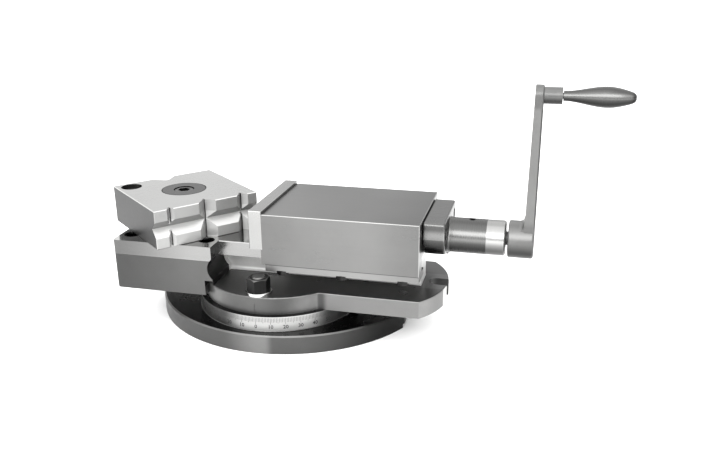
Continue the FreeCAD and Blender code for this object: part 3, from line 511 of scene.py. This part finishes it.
# Degree scale on the ring

scale_material = line_finish()
SCALE_TOP = 30.1
LONG_TICK = 6.2
MIDDLE_TICK = 5.2
SHORT_TICK = 4.2
TICK_WIDTH = 0.28
TICK_DEPTH = 0.10
FIGURE_HEIGHT = 3.5
FIGURE_FOOT = 20.0
SCALE_TURN = math.radians(1.7)


def scale_tree():
    # One thin bar for every degree, longer at every fifth and tenth.
    tree = bpy.data.node_groups.new("degree_scale", "GeometryNodeTree")
    sockets = {}
    kinds = {"Count": "NodeSocketInt"}
    for name in ("Step", "Start", "Radius", "Top", "Width", "Depth", "Short", "Middle", "Long"):
        kinds[name] = "NodeSocketFloat"
    kinds["Material"] = "NodeSocketMaterial"
    for name, kind in kinds.items():
        sockets[name] = tree.interface.new_socket(name, in_out="INPUT", socket_type=kind).identifier
    tree.interface.new_socket("Geometry", in_out="OUTPUT", socket_type="NodeSocketGeometry")
    entry = tree.nodes.new("NodeGroupInput")
    given = {socket.name: Value(tree, socket) for socket in entry.outputs if socket.name}

    def node(kind, values, out=0, **settings):
        made = tree.nodes.new(kind)
        for key, setting in settings.items():
            setattr(made, key, setting)
        for key, value in values.items():
            join(tree, value, made.inputs[key])
        return Value(tree, made.outputs[out])

    index = Value(tree, tree.nodes.new("GeometryNodeInputIndex").outputs[0])
    angle = index * given["Step"] + given["Start"]
    tenth = index.math("MODULO", index, 10.0) < 0.5
    fifth = index.math("MODULO", index, 5.0) < 0.5
    length = given["Short"].mixed(given["Middle"], fifth).mixed(given["Long"], tenth)
    sine = angle.math("SINE", angle)
    cosine = angle.math("COSINE", angle)
    across = given["Radius"] * sine
    forward = given["Radius"] * cosine * -1.0
    height = given["Top"] - length * 0.5
    place = node("ShaderNodeCombineXYZ", {0: across, 1: forward, 2: height})
    turn = node("ShaderNodeCombineXYZ", {0: 0.0, 1: 0.0, 2: angle})
    points = node("GeometryNodePoints", {"Count": given["Count"], "Position": place})
    size = node("ShaderNodeCombineXYZ", {0: given["Width"], 1: given["Depth"], 2: 1.0})
    bar = node("GeometryNodeMeshCube", {"Size": size})
    stretch = node("ShaderNodeCombineXYZ", {0: 1.0, 1: 1.0, 2: length})
    values = {"Points": points, "Instance": bar, "Rotation": turn, "Scale": stretch}
    bars = node("GeometryNodeInstanceOnPoints", values)
    solid = node("GeometryNodeRealizeInstances", {"Geometry": bars})
    solid = node("GeometryNodeSetMaterial", {"Geometry": solid, "Material": given["Material"]})
    leave = tree.nodes.new("NodeGroupOutput")
    join(tree, solid, leave.inputs[0])
    return tree, sockets


def piece_from(mesh, name, body):
    made = bpy.data.objects.new(name, mesh)
    bpy.context.scene.collection.objects.link(made)
    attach(made, body)
    return made


def make_ticks():
    tree, sockets = scale_tree()
    carrier = bpy.data.objects.new("tick_carrier", bpy.data.meshes.new("tick_carrier"))
    bpy.context.scene.collection.objects.link(carrier)
    modifier = carrier.modifiers.new("degree_scale", "NODES")
    modifier.node_group = tree
    values = {"Count": 360, "Step": math.radians(1.0), "Start": SCALE_TURN,
              "Radius": RING_RADIUS * MM, "Top": SCALE_TOP * MM,
              "Width": TICK_WIDTH * MM, "Depth": TICK_DEPTH * MM,
              "Short": SHORT_TICK * MM, "Middle": MIDDLE_TICK * MM, "Long": LONG_TICK * MM,
              "Material": scale_material}
    for name, value in values.items():
        modifier[sockets[name]] = value
    carrier.update_tag()
    graph = bpy.context.evaluated_depsgraph_get()
    mesh = bpy.data.meshes.new_from_object(carrier.evaluated_get(graph), depsgraph=graph)
    bpy.data.objects.remove(carrier)
    return piece_from(mesh, "ring_ticks", "base")


def figure_mesh(text):
    curve = bpy.data.curves.new("figure", "FONT")
    curve.body = text
    curve.size = 1.0
    curve.align_x = "CENTER"
    curve.extrude = 0.5
    curve.offset = 0.018
    curve.resolution_u = 2
    carrier = bpy.data.objects.new("figure", curve)
    bpy.context.scene.collection.objects.link(carrier)
    graph = bpy.context.evaluated_depsgraph_get()
    mesh = bpy.data.meshes.new_from_object(carrier.evaluated_get(graph), depsgraph=graph)
    bpy.data.objects.remove(carrier)
    return mesh


def make_figures():
    # The figures run 0 to 90 and back in each quarter, wrapped on the ring.
    whole = bmesh.new()
    digit_height = 0.73
    grow = FIGURE_HEIGHT / digit_height
    cache = {}
    for turn in range(-170, 190, 10):
        value = abs(turn) if abs(turn) <= 90 else 180 - abs(turn)
        text = str(value)
        if text not in cache:
            cache[text] = figure_mesh(text)
        part = bmesh.new()
        part.from_mesh(cache[text])
        for vertex in part.verts:
            x, y, z = vertex.co
            angle = SCALE_TURN + math.radians(turn) + x * grow / RING_RADIUS
            radius = (RING_RADIUS + z * TICK_DEPTH) * MM
            height = (FIGURE_FOOT + y * grow) * MM
            vertex.co = (radius * math.sin(angle), -radius * math.cos(angle), height)
        bmesh.ops.remove_doubles(part, verts=part.verts, dist=1e-7)
        bmesh.ops.recalc_face_normals(part, faces=part.faces)
        wrapped = bpy.data.meshes.new("figure")
        part.to_mesh(wrapped)
        part.free()
        whole.from_mesh(wrapped)
        bpy.data.meshes.remove(wrapped)
    mesh = bpy.data.meshes.new("ring_figures")
    whole.to_mesh(mesh)
    whole.free()
    mesh.materials.append(scale_material)
    return piece_from(mesh, "ring_figures", "base")


make_ticks()
make_figures()


# Floor, light and camera

def plain_floor():
    mesh = bpy.data.meshes.new("floor")
    half = 60.0
    corners = [(-half, -half, 0.0), (half, -half, 0.0), (half, half, 0.0), (-half, half, 0.0)]
    mesh.from_pydata(corners, [], [(0, 1, 2, 3)])
    floor = bpy.data.objects.new("floor", mesh)
    bpy.context.scene.collection.objects.link(floor)
    f = Finish("floor_pale")
    cloud = f.clouds(900.0, 3.0)
    mesh.materials.append(f.close(0.93 * (1.0 + cloud * 0.02), 0.9, 0.0, None, 0.0, (1.0, 1.0, 1.0)))


def panel(name, place, aim, width, height, power):
    data = bpy.data.lights.new(name, "AREA")
    data.shape = "RECTANGLE"
    data.size = width
    data.size_y = height
    data.energy = power
    light = bpy.data.objects.new(name, data)
    light.location = place
    light.rotation_euler = (Vector(aim) - Vector(place)).to_track_quat("-Z", "Y").to_euler()
    bpy.context.scene.collection.objects.link(light)


def soft_world():
    world = bpy.data.worlds.new("soft_world")
    world.use_nodes = True
    # Brighter overhead than near the horizon, as under a large soft box.
    horizon_light = 0.87
    overhead_light = 2.43
    tree = world.node_tree
    place = tree.nodes.new("ShaderNodeTexCoord")
    split = tree.nodes.new("ShaderNodeSeparateXYZ")
    tree.links.new(place.outputs["Generated"], split.inputs[0])
    ramp = tree.nodes.new("ShaderNodeMapRange")
    ramp.interpolation_type = "SMOOTHSTEP"
    ramp.inputs["From Min"].default_value = 0.20
    ramp.inputs["From Max"].default_value = 0.75
    ramp.inputs["To Min"].default_value = horizon_light
    ramp.inputs["To Max"].default_value = overhead_light
    tree.links.new(split.outputs["Z"], ramp.inputs["Value"])
    tree.links.new(ramp.outputs[0], tree.nodes["Background"].inputs["Strength"])
    tree.nodes["Background"].inputs["Color"].default_value = (1.0, 1.0, 1.0, 1.0)
    bpy.context.scene.world = world


def photo_camera():
    # Fitted to the photo, with the focal length and the width in its pixels.
    focal_pixels = 780.22
    picture_width = 727.0
    place = (0.23762, -0.64483, 0.32484)
    turn = math.radians(13.70)
    rise = math.radians(19.23)
    roll = math.radians(-0.40)
    ahead = Vector((-math.sin(turn) * math.cos(rise), math.cos(turn) * math.cos(rise), -math.sin(rise)))
    right = Vector((math.cos(turn), math.sin(turn), 0.0))
    up = right.cross(ahead)
    right, up = math.cos(roll) * right + math.sin(roll) * up, math.cos(roll) * up - math.sin(roll) * right
    data = bpy.data.cameras.new("photo_camera")
    data.sensor_fit = "HORIZONTAL"
    data.sensor_width = 36.0
    data.lens = focal_pixels / picture_width * data.sensor_width
    data.clip_start = 0.01
    data.clip_end = 100.0
    camera = bpy.data.objects.new("photo_camera", data)
    turned = Matrix((right, up, -ahead)).transposed().to_4x4()
    camera.matrix_world = Matrix.Translation(place) @ turned
    bpy.context.scene.collection.objects.link(camera)
    bpy.context.scene.camera = camera


plain_floor()
soft_world()
panel("key_above", (-0.15, -0.35, 1.7), (0.0, 0.0, 0.1), 1.6, 1.2, 5.0)
panel("back_left", (-1.3, 1.7, 0.75), (-0.05, 0.0, 0.1), 1.5, 1.1, 2.4)
panel("front_right", (1.5, -1.3, 0.9), (0.05, 0.0, 0.08), 0.9, 1.2, 2.2)
panel("front_box", (0.20, -1.27, 0.80), (0.10, 0.0, 0.1), 1.8, 0.75, 17.0)
photo_camera()
bpy.context.scene.view_settings.view_transform = "Standard"
